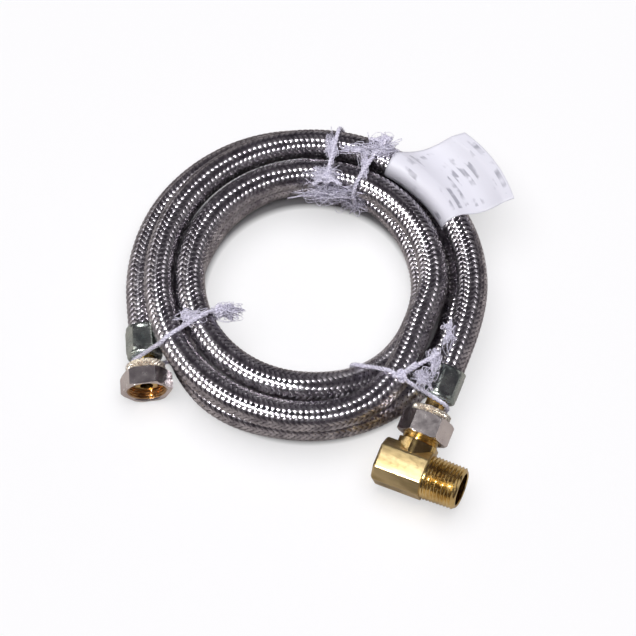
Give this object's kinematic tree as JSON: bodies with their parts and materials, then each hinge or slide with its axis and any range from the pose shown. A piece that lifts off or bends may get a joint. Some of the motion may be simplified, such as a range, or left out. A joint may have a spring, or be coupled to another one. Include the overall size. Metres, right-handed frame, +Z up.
{
  "type": "braided supply line",
  "caption": "Coiled stainless-braided water supply line, tied with twine, with a coupling nut at each end and a brass elbow on its outlet.",
  "frame": {"origin": "bottom centre of the coiled line's bounding box, on the surface that it lies on", "axes": "+Z up, along the coil's axis; +Y from the elbow end across the coil, the longest extent; +X from the inlet nut across to the outlet side"},
  "size_m": [0.1556, 0.1685, 0.0317],
  "materials": {
    "braid": "woven bright stainless wire, dark purple-grey between bright glints",
    "liner": "milky flexible tube",
    "ferrule_steel": "greenish grey crimped steel, smooth",
    "brass": "machined and forged, bare",
    "nickel": "dull nickel plate over brass",
    "twine": "white twisted twine",
    "paper": "white self-adhesive paper with faint grey print"
  },
  "bodies": {
    "hose_assembly": {"braided_jacket": "braid", "inner_tube": "liner", "inlet_ferrule": "ferrule_steel", "inlet_tailpiece": "brass", "inlet_sealing_cone": "brass", "outlet_ferrule": "ferrule_steel", "outlet_tailpiece": "brass", "inlet_tie": "twine", "outlet_tie": "twine", "top_tie": "twine", "label_tie": "twine", "wrap_label": "paper"},
    "inlet_nut": {"inlet_nut": "nickel"},
    "outlet_nut": {"outlet_nut": "nickel"},
    "outlet_seal": {"outlet_sealing_cone": "brass"},
    "elbow": {"elbow": "brass"}
  },
  "joints": [
    {"name": "inlet_nut_spin", "type": "hinge", "parent": "hose_assembly", "child": "inlet_nut", "pos_m": [-0.06792, -0.02319, 0.0102], "axis": [0.09, -0.9959, 0], "continuous": true},
    {"name": "outlet_nut_turn", "type": "hinge", "parent": "hose_assembly", "child": "outlet_nut", "pos_m": [0.04437, -0.04504, 0.01608], "axis": [0.3818, 0.9043, 0.1909], "range_deg": [0, 2160]},
    {"name": "elbow_back_off", "type": "slide", "parent": "hose_assembly", "child": "outlet_seal", "axis": [-0.3818, -0.9043, -0.1909], "range_m": [0, 0.00634]},
    {"name": "elbow_swivel", "type": "hinge", "parent": "outlet_seal", "child": "elbow", "pos_m": [0.03467, -0.06801, 0.01124], "axis": [-0.3818, -0.9043, -0.1909], "range_deg": [-90, 90]}
  ],
  "couplings": [
    {"joint": "outlet_nut_turn", "follows": "elbow_back_off", "rad_per_m": 5937.1}
  ]
}
